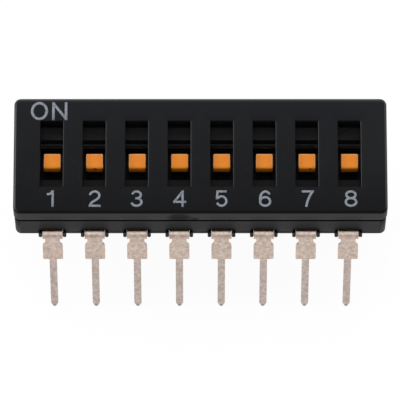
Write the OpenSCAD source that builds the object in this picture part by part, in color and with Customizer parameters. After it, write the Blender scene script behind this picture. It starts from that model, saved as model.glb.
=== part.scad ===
// Slide DIP switch with recessed knobs, for through-hole boards.
//
// Frame: the origin is the centre of the base's underside. +Z points up to the knobs, +X runs
// from position 1 to the last position, and +Y points to the ON side. The sliders are drawn at
// OFF, the -Y end of their travel. The pins reach below z = 0. All sizes are millimetres.

/* [Layout] */
// Number of switch positions
positions = 8; // [2:1:11]
// Distance from one position to the next
pitch = 2.54; // [2.35:0.01:4]
// Distance from the outer positions' centre lines to the ends of the body
end_margin = 2.26; // [2:0.01:4]

/* [Body] */
// Width of the body, front to back
body_w = 7.31; // [6.4:0.01:9]
// Height of the body, from the base's underside to the face
body_h = 3.72; // [3.5:0.01:5]
// Radius of the body's upright corners
corner_r = 0.4; // [0.3:0.01:0.8]
// Radius of the cover's top edges
edge_r = 0.18; // [0.05:0.01:0.25]
// Thickness of the cover's roof, from the face down to the base's deck
roof_t = 1.1; // [0.9:0.01:1.3]
// Wall of the cover's skirt
skirt_t = 0.5; // [0.3:0.01:0.6]
// Drop of the skirt past the deck, where it laps the base
skirt_lap = 0.16; // [0.05:0.01:0.4]
// Parting gap between the skirt and the base's shoulder
parting_gap = 0.22; // [0.05:0.01:0.3]
// Step in from the cover's side to the base's side
base_inset = 0.035; // [0:0.005:0.1]
// Play between the skirt and the base's deck
lap_clear = 0.03; // [0.01:0.01:0.1]

/* [Slots] */
// Width of the slots in the cover
slot_w = 1.35; // [1.1:0.01:1.6]
// Length of the slots in the cover
slot_l = 4.16; // [3.6:0.01:4.6]
// Offset of the slots and cells towards the ON side
slot_y = 0.1; // [0:0.01:0.3]

/* [Cells] */
// Width of the cells in the base
cell_w = 1.9; // [1.7:0.01:2]
// Length of the cells in the base, which leaves a ledge at each end of a slot
cell_l = 2.56; // [2.4:0.01:2.8]
// Thickness of the base's floor
floor_t = 0.75; // [0.65:0.01:0.9]
// Height of the stop step above the floor
stop_h = 1.05; // [0.95:0.01:1.2]
// Depth of the stop step at each end of a cell
stop_d = 0.17; // [0.1:0.01:0.2]

/* [Slider] */
// Travel of the slider from OFF to ON
travel = 0.9; // [0.7:0.01:1]
// Play at each side of the slider
side_clear = 0.05; // [0.02:0.01:0.1]
// Play between the slider's wings and the cover
lift_clear = 0.02; // [0.01:0.01:0.05]
// Play left at each end stop
stop_clear = 0.01; // [0.005:0.005:0.05]
// Height of the shoe above the floor
shoe_lift = 0.15; // [0.1:0.01:0.25]
// Height of the shoe
shoe_h = 0.82; // [0.7:0.01:0.9]
// Thickness of the guide wings
wing_t = 0.2; // [0.15:0.01:0.25]
// Step in from the knob's sides to the post under it
post_inset = 0.07; // [0.03:0.01:0.12]

/* [Knob] */
// Width of the knob
knob_w = 1; // [0.8:0.01:1.1]
// Length of the knob along its travel
knob_l = 0.94; // [0.8:0.01:1]
// Height of the knob
knob_h = 0.77; // [0.6:0.01:0.9]
// Depth of the knob's top below the face
knob_recess = 0.52; // [0.3:0.01:0.6]
// Gap between the knob at ON and the end wall of the cell
knob_gap = 0.175; // [0.1:0.005:0.3]
// Radius of the knob's upright edges
knob_corner_r = 0.1; // [0.09:0.01:0.2]
// Radius of the knob's top edges
knob_edge_r = 0.08; // [0.03:0.01:0.08]
// Size of the square peg that joins the knob to its post
peg_w = 0.4; // [0.3:0.01:0.5]
// Height of the peg
peg_h = 0.4; // [0.3:0.01:0.5]

/* [Contact spring] */
// Width of the spring strip
spring_w = 0.66; // [0.5:0.01:0.8]
// Thickness of the spring strip
spring_t = 0.08; // [0.06:0.01:0.1]
// Outer radius of the contact bows
bow_r = 0.17; // [0.14:0.01:0.18]
// Height of the free ends above the bows' centres
free_end_h = 0.2; // [0.1:0.01:0.25]
// Play between the spring and its pocket
pocket_clear = 0.03; // [0.02:0.01:0.05]
// Thickness of the shoe at each end of the pocket
pocket_wall = 0.1; // [0.05:0.01:0.15]
// Depth of the spring's pocket in the shoe
pocket_h = 0.46; // [0.4:0.01:0.5]
// Running gap between the bows and the pads
wipe_clear = 0.03; // [0.02:0.01:0.05]

/* [Terminals] */
// Thickness of the terminal strip
strip_t = 0.2; // [0.15:0.01:0.25]
// Width of the contact pad in the floor
pad_w = 0.9; // [0.7:0.01:1.2]
// Insulating gap between the two pads of a position
pad_gap = 0.3; // [0.2:0.01:0.35]
// Length of the front pad past the nearest contact point
pad_overlap = 0.1; // [0.05:0.01:0.15]
// Reach of the pad into the wall past the cell
pad_tail = 0.15; // [0.1:0.01:0.3]
// Length of the ramp from the pad down to the lead
ramp_l = 0.65; // [0.5:0.01:0.8]
// Width of the lead and of the shoulder below it
lead_w = 1.21; // [1:0.01:1.3]
// Height of the lead's top above the underside
lead_z = 0.3; // [0.25:0.01:0.4]
// Flat reach of the lead past the base's side
lead_reach = 0.01; // [0:0.01:0.3]
// Inner radius of the bend
bend_r = 0.2; // [0.05:0.01:0.3]
// Splay of the legs out from upright, in degrees
splay = 20; // [0:1:25]
// Width of the neck under the bend
neck_w = 0.89; // [0.6:0.01:1]
// Distance from the bend to the top of the shoulder
neck_l = 0.42; // [0.1:0.01:0.8]
// Radius of the shoulder's upper corners
shoulder_r = 0.34; // [0.2:0.01:0.4]
// Distance from the bend to the foot of the shoulder
shoulder_l = 1.9; // [1.3:0.01:2.5]
// Width of the pin
pin_w = 0.44; // [0.4:0.01:0.6]
// Length of the leg from the bend to its tip
leg_l = 6.42; // [3.5:0.01:8]
// Length of the tapered tip
tip_l = 0.3; // [0.15:0.01:0.5]
// Width of the tip's end
tip_w = 0.14; // [0.05:0.01:0.3]

/* [Lead guards] */
// Width of the guards beside each lead
guard_w = 0.22; // [0.15:0.01:0.25]
// Height of the guards
guard_h = 0.18; // [0.1:0.01:0.25]
// Reach of the guards past the base's side
guard_reach = 0.245; // [0.15:0.005:0.4]
// Radius of the guards' outer corners
guard_r = 0.08; // [0.03:0.01:0.1]
// Play between a guard and the lead
guard_clear = 0.01; // [0.005:0.005:0.05]
// Width of the window over each lead
window_w = 1.54; // [1.35:0.01:1.6]
// Height of the window above the lead
window_h = 0.36; // [0.2:0.01:0.5]
// Depth of the window into the base's side
window_d = 0.2; // [0.1:0.01:0.3]
// Radius of the support holes under the pads
support_r = 0.22; // [0.15:0.01:0.3]

/* [Cover pegs] */
// Radius of the pegs that hold the cover on the base
cover_peg_r = 0.28; // [0.2:0.01:0.3]
// Length of the pegs below the deck
cover_peg_l = 1.2; // [0.8:0.01:1.4]
// Play round the pegs and below their ends
cover_peg_clear = 0.02; // [0.01:0.01:0.05]
// Distance of the pegs from the body's ends
cover_peg_x = 1.02; // [0.95:0.01:1.05]
// Distance of the pegs from the body's sides
cover_peg_y = 1.25; // [1:0.01:1.6]

/* [Hidden] */
$fn = 48;
BLACK = [0.14, 0.145, 0.15];
BASE_BLACK = [0.18, 0.18, 0.185];
SLIDER_BLACK = [0.1, 0.1, 0.1];
ORANGE = [0.85, 0.51, 0.2];
TIN = [0.77, 0.71, 0.66];
BRASS = [0.79, 0.65, 0.38];

// A cut runs this far past the faces it goes through.
past = 0.1;

body_l = (positions - 1) * pitch + 2 * end_margin;
deck_z = body_h - roof_t;
skirt_z = deck_z - skirt_lap;
shoulder_z = skirt_z - parting_gap;
base_w = body_w - 2 * base_inset;
base_l = body_l - 2 * base_inset;
base_corner_r = corner_r - base_inset;
deck_inset = skirt_t + lap_clear;
deck_corner_r = 0.15;
skirt_corner_r = deck_corner_r + lap_clear;

// Slider: the lower cell, between the stop steps, sets the shoe's length.
stop_l = cell_l - 2 * stop_d;
shoe_l = stop_l - travel - 2 * stop_clear;
shoe_w = cell_w - 2 * side_clear;
shoe_y = slot_y - travel / 2;
shoe_z = floor_t + shoe_lift;
shoe_top = shoe_z + shoe_h;
knob_y = slot_y + cell_l / 2 - knob_gap - knob_l / 2 - travel;
knob_z = body_h - knob_recess - knob_h;

// Contact spring: it fills the shoe's pocket, and its web rests on the pocket's roof.
pocket_top = shoe_z + pocket_h;
pocket_w = spring_w + 2 * pocket_clear;
pocket_l = shoe_l - 2 * pocket_wall;
contact_span = pocket_l - 2 * (bow_r + pocket_clear);
bow_z = floor_t + wipe_clear + bow_r;

// Terminals: the front pad ends past the rear contact point at OFF and the front one at ON.
pad_gap_y = shoe_y + max(contact_span / 2, travel - contact_span / 2) + pad_overlap;
front_pad_end = -pad_gap_y;
back_pad_end = pad_gap_y + pad_gap;
ramp_top_front = cell_l / 2 - slot_y + pad_tail;
ramp_top_back = cell_l / 2 + slot_y + pad_tail;
bend_y = base_w / 2 + lead_reach;
bend_angle = 90 - splay;
guard_end = base_w / 2 + guard_reach;

peg_xs = [-1, 1] * (body_l / 2 - cover_peg_x);
peg_ys = [-1, 1] * (body_w / 2 - cover_peg_y);

function position_x(k) = (k - (positions + 1) / 2) * pitch;

// Block centred on X and Y that stands on z = 0.
module block(l, w, h) {
    translate([-l / 2, -w / 2, 0]) cube([l, w, h]);
}

// Flat rectangle with round corners, centred.
module rounded_rect(l, w, r) {
    square([l - 2 * r, w], center = true);
    square([l, w - 2 * r], center = true);
    for (x = [-1, 1] * (l / 2 - r), y = [-1, 1] * (w / 2 - r))
        translate([x, y]) circle(r);
}

// Block with round upright corners and round top edges. The corner radius is the larger one.
module soft_block(l, w, h, corner, edge) {
    linear_extrude(h - edge) rounded_rect(l, w, corner);
    linear_extrude(h) rounded_rect(l - 2 * edge, w - 2 * edge, corner - edge);
    for (y = [-1, 1] * (w / 2 - edge))
        translate([0, y, h - edge]) rotate([0, 90, 0]) cylinder(l - 2 * corner, r = edge, center = true);
    for (x = [-1, 1] * (l / 2 - edge))
        translate([x, 0, h - edge]) rotate([90, 0, 0]) cylinder(w - 2 * corner, r = edge, center = true);
    for (x = [-1, 1] * (l / 2 - corner), y = [-1, 1] * (w / 2 - corner))
        translate([x, y, h - edge]) rotate_extrude() intersection() {
            translate([corner - edge, 0]) circle(edge);
            translate([0, -edge]) square([corner, 2 * edge]);
        }
}

// Extrudes an outline drawn in (y, z) to both sides of x = 0.
module extrude_x(w) {
    translate([-w / 2, 0, 0]) rotate([90, 0, 90]) linear_extrude(w) children();
}

module cover() {
    color(BLACK) {
        difference() {
            translate([0, 0, skirt_z])
                soft_block(body_l, body_w, body_h - skirt_z, corner_r, edge_r);
            translate([0, 0, skirt_z - past]) linear_extrude(skirt_lap + past)
                rounded_rect(body_l - 2 * skirt_t, body_w - 2 * skirt_t, skirt_corner_r);
            for (k = [1:positions])
                translate([position_x(k), slot_y, deck_z - past])
                    block(slot_w, slot_l, roof_t + 2 * past);
        }
        for (x = peg_xs, y = peg_ys)
            translate([x, y, deck_z - cover_peg_l]) cylinder(cover_peg_l, r = cover_peg_r);
    }
}

module base() {
    color(BASE_BLACK) {
        difference() {
            union() {
                linear_extrude(shoulder_z) rounded_rect(base_l, base_w, base_corner_r);
                linear_extrude(deck_z)
                    rounded_rect(body_l - 2 * deck_inset, body_w - 2 * deck_inset, deck_corner_r);
            }
            for (k = [1:positions]) translate([position_x(k), 0, 0]) {
                cell();
                lead_cut(front_pad_end, ramp_top_front, -1);
                lead_cut(back_pad_end, ramp_top_back, 1);
            }
            for (x = peg_xs, y = peg_ys)
                translate([x, y, deck_z - cover_peg_l - cover_peg_clear])
                    cylinder(cover_peg_l + cover_peg_clear + past, r = cover_peg_r + cover_peg_clear);
        }
        for (k = [1:positions], side = [-1, 1], edge = [-1, 1])
            translate([position_x(k) + edge * (lead_w / 2 + guard_clear + guard_w / 2), 0, 0])
                facing(side) guard();
    }
}

// Turns a shape that points along +Y to the front (side -1) or the back (side 1).
module facing(side) {
    rotate([0, 0, side > 0 ? 0 : 180]) children();
}

// Space for one slider: the part above the stop steps is longer than the part between them.
module cell() {
    translate([0, slot_y, floor_t]) block(cell_w, stop_l, deck_z - floor_t + past);
    translate([0, slot_y, floor_t + stop_h]) block(cell_w, cell_l, deck_z - floor_t - stop_h + past);
}

// What one terminal takes out of the base: the strip itself, the open groove that the lead
// lies in, the window over the lead and the support hole under the pad.
module lead_cut(pad_end, ramp_top, side) {
    window_y = base_w / 2 - window_d;
    groove_y = ramp_top + ramp_l;
    facing(side) {
        strip(pad_end, ramp_top);
        translate([0, groove_y, -past]) block_ahead(lead_w, window_y - groove_y + past, lead_z + past);
        translate([0, window_y, -past])
            block_ahead(lead_w + 2 * guard_clear, window_d + past, lead_z + past);
        translate([0, window_y, guard_h])
            block_ahead(window_w, window_d + past, lead_z + window_h - guard_h);
        translate([0, (pad_end + ramp_top) / 2, -past])
            cylinder(floor_t - strip_t + past, r = support_r);
    }
}

// Block centred on X that starts at y = 0.
module block_ahead(l, w, h) {
    translate([-l / 2, 0, 0]) cube([l, w, h]);
}

// Small wall beside a lead, with round outer corners.
module guard() {
    inside = base_w / 2 - window_d;
    translate([0, inside, 0]) block_ahead(guard_w, guard_end - guard_r - inside, guard_h);
    translate([0, guard_end - guard_r - past, 0])
        block_ahead(guard_w - 2 * guard_r, guard_r + past, guard_h);
    for (x = [-1, 1] * (guard_w / 2 - guard_r))
        translate([x, guard_end - guard_r, 0]) cylinder(guard_h, r = guard_r);
}

// Flat stretch of a terminal, pointing along +Y: the pad, the ramp and the lead up to the bend.
module strip(pad_end, ramp_top) {
    ramp_foot = ramp_top + ramp_l;
    lean = strip_t * tan(atan((floor_t - lead_z) / ramp_l) / 2);
    translate([0, pad_end, floor_t - strip_t])
        block_ahead(pad_w, ramp_top - lean - pad_end, strip_t);
    extrude_x(lead_w) polygon([
        [ramp_top - lean, floor_t - strip_t],
        [ramp_top - lean, floor_t],
        [ramp_top, floor_t],
        [ramp_foot, lead_z],
        [bend_y, lead_z],
        [bend_y, lead_z - strip_t],
        [ramp_foot - lean, lead_z - strip_t],
    ]);
}

// Outline of a leg, which runs from the bend along +Y.
module leg_outline() {
    translate([-neck_w / 2, 0]) square([neck_w, neck_l + shoulder_r]);
    translate([-lead_w / 2, neck_l + shoulder_r])
        square([lead_w, shoulder_l - neck_l - shoulder_r]);
    translate([shoulder_r - lead_w / 2, neck_l]) square([lead_w - 2 * shoulder_r, shoulder_r]);
    for (x = [-1, 1] * (lead_w / 2 - shoulder_r))
        translate([x, neck_l + shoulder_r]) circle(shoulder_r);
    polygon([
        [-pin_w / 2, shoulder_l],
        [pin_w / 2, shoulder_l],
        [pin_w / 2, leg_l - tip_l],
        [tip_w / 2, leg_l],
        [-tip_w / 2, leg_l],
        [-pin_w / 2, leg_l - tip_l],
    ]);
}

module terminal(pad_end, ramp_top) {
    strip(pad_end, ramp_top);
    translate([0, bend_y, lead_z - strip_t - bend_r]) {
        rotate([0, -90, 0]) rotate_extrude(angle = bend_angle)
            translate([bend_r, -lead_w / 2]) square([strip_t, lead_w]);
        rotate([-bend_angle, 0, 0]) translate([0, 0, bend_r])
            linear_extrude(strip_t) leg_outline();
    }
}

module terminal_front(k) {
    color(TIN) translate([position_x(k), 0, 0]) facing(-1) terminal(front_pad_end, ramp_top_front);
}

module terminal_back(k) {
    color(TIN) translate([position_x(k), 0, 0]) facing(1) terminal(back_pad_end, ramp_top_back);
}

// Shoe with two guide wings, and the post and peg that carry the knob.
module slider(k) {
    color(SLIDER_BLACK) translate([position_x(k), shoe_y, 0]) {
        difference() {
            translate([0, 0, shoe_z]) block(shoe_w, shoe_l, shoe_h);
            translate([0, 0, shoe_z - past]) block(pocket_w, pocket_l, pocket_h + past);
        }
        for (x = [-1, 1] * (shoe_w - wing_t) / 2)
            translate([x, 0, shoe_top]) block(wing_t, shoe_l, deck_z - lift_clear - shoe_top);
        translate([0, knob_y - shoe_y, 0]) {
            translate([0, 0, shoe_top])
                block(knob_w - 2 * post_inset, knob_l - 2 * post_inset, knob_z - shoe_top);
            translate([0, 0, knob_z]) block(peg_w, peg_w, peg_h);
        }
    }
}

module knob(k) {
    color(ORANGE) translate([position_x(k), knob_y, knob_z]) difference() {
        soft_block(knob_w, knob_l, knob_h, knob_corner_r, knob_edge_r);
        translate([0, 0, -past]) block(peg_w, peg_w, peg_h + past);
    }
}

// Bridge with two bows. Drawn in (y, z) about the middle of the shoe.
module contact_spring(k) {
    color(BRASS) translate([position_x(k), shoe_y, 0]) extrude_x(spring_w) {
        web = contact_span - 2 * bow_r + 2 * spring_t;
        translate([-web / 2, pocket_top - spring_t]) square([web, spring_t]);
        for (side = [-1, 1]) translate([side * contact_span / 2, bow_z]) {
            difference() {
                circle(bow_r);
                circle(bow_r - spring_t);
                translate([-bow_r - past, 0]) square([2 * (bow_r + past), bow_r + past]);
            }
            translate([-side * (bow_r - spring_t / 2) - spring_t / 2, 0])
                square([spring_t, pocket_top - bow_z]);
            translate([side * (bow_r - spring_t / 2) - spring_t / 2, 0])
                square([spring_t, free_end_h]);
        }
    }
}

cover();
base();
for (k = [1:positions]) {
    knob(k);
    slider(k);
    contact_spring(k);
    terminal_front(k);
    terminal_back(k);
}
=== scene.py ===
import math

import bmesh
import bpy
import numpy as np
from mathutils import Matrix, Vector


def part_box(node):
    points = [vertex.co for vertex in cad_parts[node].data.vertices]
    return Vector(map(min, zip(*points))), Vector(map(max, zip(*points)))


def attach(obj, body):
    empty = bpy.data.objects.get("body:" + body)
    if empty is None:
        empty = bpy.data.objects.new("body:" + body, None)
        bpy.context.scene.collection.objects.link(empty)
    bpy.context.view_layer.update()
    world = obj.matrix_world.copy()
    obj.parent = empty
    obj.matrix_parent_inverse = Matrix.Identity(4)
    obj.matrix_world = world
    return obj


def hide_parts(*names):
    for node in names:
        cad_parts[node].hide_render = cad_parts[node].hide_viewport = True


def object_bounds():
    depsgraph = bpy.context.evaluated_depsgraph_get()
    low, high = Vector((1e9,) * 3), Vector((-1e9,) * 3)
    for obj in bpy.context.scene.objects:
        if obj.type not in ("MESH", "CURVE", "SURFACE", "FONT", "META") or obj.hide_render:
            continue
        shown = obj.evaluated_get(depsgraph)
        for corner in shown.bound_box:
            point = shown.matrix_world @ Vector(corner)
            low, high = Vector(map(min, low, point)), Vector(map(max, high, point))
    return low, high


# Eight-position slide switch for through-hole boards. The frame is in metres and every length in
# the dictionaries below is in millimetres. +Y is the ON side and -Y is the side of the digits.
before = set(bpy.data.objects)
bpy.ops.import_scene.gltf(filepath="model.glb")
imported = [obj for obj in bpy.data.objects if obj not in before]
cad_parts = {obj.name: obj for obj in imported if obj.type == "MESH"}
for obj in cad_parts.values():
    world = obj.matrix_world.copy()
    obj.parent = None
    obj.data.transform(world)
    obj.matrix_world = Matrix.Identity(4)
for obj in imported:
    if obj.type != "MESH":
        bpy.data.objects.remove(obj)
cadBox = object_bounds()
print("frame loaded:", len(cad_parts), "nodes")

mm = 0.001
weldReach = 1e-7  # metres: points nearer to each other than this become one point

body = {
    "positions": 8,
    "pitch": 2.54,
    "faceDrop": 0.004,  # the face lies this far under the CAD face, which leaves room for the ink
}


def slotX(k):
    return (k - (body["positions"] + 1) / 2) * body["pitch"]


# A rectangle with round corners, as one closed loop of points, with this many steps along each
# side and round each corner. For each point it gives its place on the rectangle of corner
# centres (-1 to 1) and the direction it faces, so that a loop of any size is
# (half size - radius) * place + radius * direction.
def roundLoop(sideX, sideY, arc):
    corners = [(1, 1), (-1, 1), (-1, -1), (1, -1)]
    place, facing = [], []
    for k, here in enumerate(corners):
        there = corners[(k + 1) % 4]
        turn = (k + np.linspace(0, 1, arc + 1)) * math.pi / 2
        steps = sideX if here[1] == there[1] else sideY
        share = np.linspace(0, 1, steps + 1)[1:-1, None]
        along = np.full(steps - 1, turn[-1])
        place += [np.tile(here, (arc + 1, 1)), here + (np.array(there) - here) * share]
        facing += [np.stack([np.cos(angle), np.sin(angle)], -1) for angle in (turn, along)]
    return np.vstack(place).astype(float), np.vstack(facing)


# Rows of (half length, half width, corner radius, centre y, height) become one surface: each row
# is the loop at that size and height, and rows that shrink to a point close the surface.
def loopSurface(rows, loop, x=0.0):
    halfX, halfY, corner, centreY, z = np.array(rows, float).T[..., None]
    place, facing = loop
    px = x + (halfX - corner) * place[:, 0] + corner * facing[:, 0]
    py = centreY + (halfY - corner) * place[:, 1] + corner * facing[:, 1]
    return np.stack([px, py, np.broadcast_to(z, px.shape)], -1)


# A quarter of a circle of this radius, in equal steps from 0 to 90 degrees, as pairs: how far in
# from the side, and how far from the top.
def quarterRound(radius, steps):
    turn = np.linspace(0, math.pi / 2, steps + 1)
    return list(zip(radius * (1 - np.cos(turn)), radius * (1 - np.sin(turn))))


# The rows of a rounded edge: the loop (half length, half width, corner radius, centre y) moves
# in by the first number of each pair, and up from z by the second. -1 turns a direction round.
def edgeRows(loop, z, pairs, inward, upward):
    halfX, halfY, corner, centreY = loop
    return [
        (halfX - inward * i, halfY - inward * i, corner - inward * i, centreY, z + upward * d)
        for i, d in pairs
    ]


# Closes a tube at both ends, on the middle of its first ring and the middle of its last.
def closeEnds(grid):
    first, last = [np.broadcast_to(ring.mean(0), (1, *ring.shape)) for ring in grid[[0, -1]]]
    return np.concatenate([first, grid, last])


# Grids of points (rows, columns, xyz) in millimetres become one mesh. The columns close on
# themselves, equal points are welded, and every shell is closed, so its faces can be turned out.
def meshFromGrids(name, grids):
    points = np.vstack([g.reshape(-1, 3) for g in grids]) * mm
    quads, start = [], 0
    for g in grids:
        index = start + np.arange(g.shape[0] * g.shape[1]).reshape(g.shape[:2])
        ahead = np.roll(index, -1, 1)
        quads.append(np.stack([index[:-1], ahead[:-1], ahead[1:], index[1:]], -1).reshape(-1, 4))
        start += index.size
    mesh = bpy.data.meshes.new(name)
    mesh.from_pydata(points.tolist(), [], np.vstack(quads).tolist())
    shell = bmesh.new()
    shell.from_mesh(mesh)
    bmesh.ops.remove_doubles(shell, verts=shell.verts, dist=weldReach)
    bmesh.ops.recalc_face_normals(shell, faces=shell.faces)
    shell.to_mesh(mesh)
    shell.free()
    return mesh


# Puts a mesh in the scene as a smooth piece, which rides on its body and may stand for a CAD node.
def addPiece(name, mesh, material, bodyName, stoodFor=()):
    piece = bpy.data.objects.new(name, mesh)
    bpy.context.scene.collection.objects.link(piece)
    mesh.materials.clear()
    mesh.materials.append(material)
    mesh.polygons.foreach_set("use_smooth", np.ones(len(mesh.polygons), bool))
    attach(piece, bodyName)
    if stoodFor:
        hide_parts(*stoodFor)
    return piece


# Lets the large flat faces lead the normals, so that only the rounded edges catch the light.
def weighNormals(piece):
    piece.modifiers.new("steadyNormals", "WEIGHTED_NORMAL")


# One sRGB hex colour, such as "1e1f21", as the linear colour that a shader takes.
def linear(hexColour):
    srgb = np.array([int(hexColour[i:i + 2], 16) for i in (0, 2, 4)]) / 255
    value = np.where(srgb <= 0.04045, srgb / 12.92, ((srgb + 0.055) / 1.055) ** 2.4)
    return (*value, 1.0)


# One node with its settings and links. A setting or link is named by the input it belongs to; a
# lower-case setting is a property of the node. A link comes from an output, or from a node, which
# then gives the first output that it has in use.
def addNode(tree, kind, settings=None, links=None):
    node = tree.nodes.new(kind)
    for key, value in (settings or {}).items():
        if isinstance(key, str) and key[0].islower():
            setattr(node, key, value)
        else:
            node.inputs[key].default_value = value
    for key, source in (links or {}).items():
        if isinstance(source, bpy.types.Node):
            source = next(output for output in source.outputs if output.enabled)
        tree.links.new(source, node.inputs[key])
    return node


def newMaterial(name):
    material = bpy.data.materials.new(name)
    material.use_nodes = True
    material.node_tree.nodes.clear()
    return material, material.node_tree


# The scale of a pattern whose grain is this long, in millimetres.
def perMetre(grainLength):
    return 1 / (grainLength * mm)


# What a patch of a material may be bounded by, at each point of a piece: x, y and z in
# millimetres, how far x and y are from the middle, how far x is from the nearest slot's middle,
# how far the surface faces right, and upward and frontal, which are 1 and 0 on a flat top. Along
# an upper edge frontal drops below 0 at the front and rises over 0 at the back.
def measuresOf(tree):
    source = addNode(tree, "ShaderNodeTexCoord").outputs
    where = addNode(
        tree, "ShaderNodeVectorMath", {"operation": "SCALE", "Scale": 1 / mm}, {0: source["Object"]}
    )
    place = addNode(tree, "ShaderNodeSeparateXYZ", links={0: where}).outputs
    facing = addNode(tree, "ShaderNodeSeparateXYZ", links={0: source["Normal"]}).outputs
    half = body["pitch"] / 2
    shifted = addNode(tree, "ShaderNodeMath", {"operation": "ADD", 1: half}, {0: place["X"]})
    upward = addNode(tree, "ShaderNodeMath", {"operation": "MAXIMUM", 1: 0.0}, {0: facing["Z"]})
    return {
        "object": source["Object"],
        "where": where,
        "x": place["X"],
        "y": place["Y"],
        "z": place["Z"],
        "facingX": facing["X"],
        "awayX": addNode(tree, "ShaderNodeMath", {"operation": "ABSOLUTE"}, {0: place["X"]}),
        "awayY": addNode(tree, "ShaderNodeMath", {"operation": "ABSOLUTE"}, {0: place["Y"]}),
        "toSlot": addNode(tree, "ShaderNodeMath", {"operation": "PINGPONG", 1: half}, {0: shifted}),
        "upward": upward,
        "frontal": addNode(
            tree, "ShaderNodeMath", {"operation": "MULTIPLY"}, {0: facing["Y"], 1: upward}
        ),
    }


# Lays patches over a colour, in turn. A patch is its colour, its strength, whether it is dirt or
# painted shade, which dulls the skin too, and its bounds. A bound is a measure, its value where the
# patch is absent and its value where the patch is full. Returns the colour, and how much dirt and
# painted shade each point has.
def addPatches(tree, colour, patches, measures):
    dirtAndShade = None
    for hexColour, strength, isDirtOrShade, bounds in patches:
        share = None
        for measure, absent, full in bounds:
            reach = {"From Min": absent, "From Max": full, "To Max": 1.0 if share else strength}
            reach = addNode(tree, "ShaderNodeMapRange", reach, {"Value": measures[measure]})
            if share:
                reach = addNode(
                    tree, "ShaderNodeMath", {"operation": "MULTIPLY"}, {0: share, 1: reach}
                )
            share = reach
        over = {"data_type": "RGBA", 7: linear(hexColour)}
        colour = addNode(tree, "ShaderNodeMix", over, {0: share, 6: colour})
        if isDirtOrShade and dirtAndShade:
            share = {0: dirtAndShade, 1: share}
            share = addNode(tree, "ShaderNodeMath", {"operation": "MAXIMUM"}, share)
        dirtAndShade = share if isDirtOrShade else dirtAndShade
    return colour, dirtAndShade


# A round stain with a ragged rim: its measure is the distance from its middle, made uneven by
# the grain, and it is full inside the given share of its radius.
def addStain(tree, measures, name, middle, radius, core, grain, ragged):
    away = addNode(
        tree, "ShaderNodeVectorMath", {"operation": "DISTANCE", 1: middle}, {0: measures["where"]}
    )
    measures[name] = addNode(
        tree, "ShaderNodeMath", {"operation": "MULTIPLY_ADD", 1: ragged}, {0: grain, 2: away}
    )
    return [(name, radius + ragged / 2, radius * core + ragged / 2)]


# What the patches below share: the colour of grime and of painted shade, and the bounds that keep a
# patch in the tray or on its long sides.
grimeAndShade = "030302"
inTray = [("awayY", 3.2, 3.0), ("awayX", 10.4, 10.3)]
onSides = [("awayX", 10.4, 10.3), ("awayY", 3.30, 3.35), ("awayY", 3.68, 3.64)]
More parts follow.
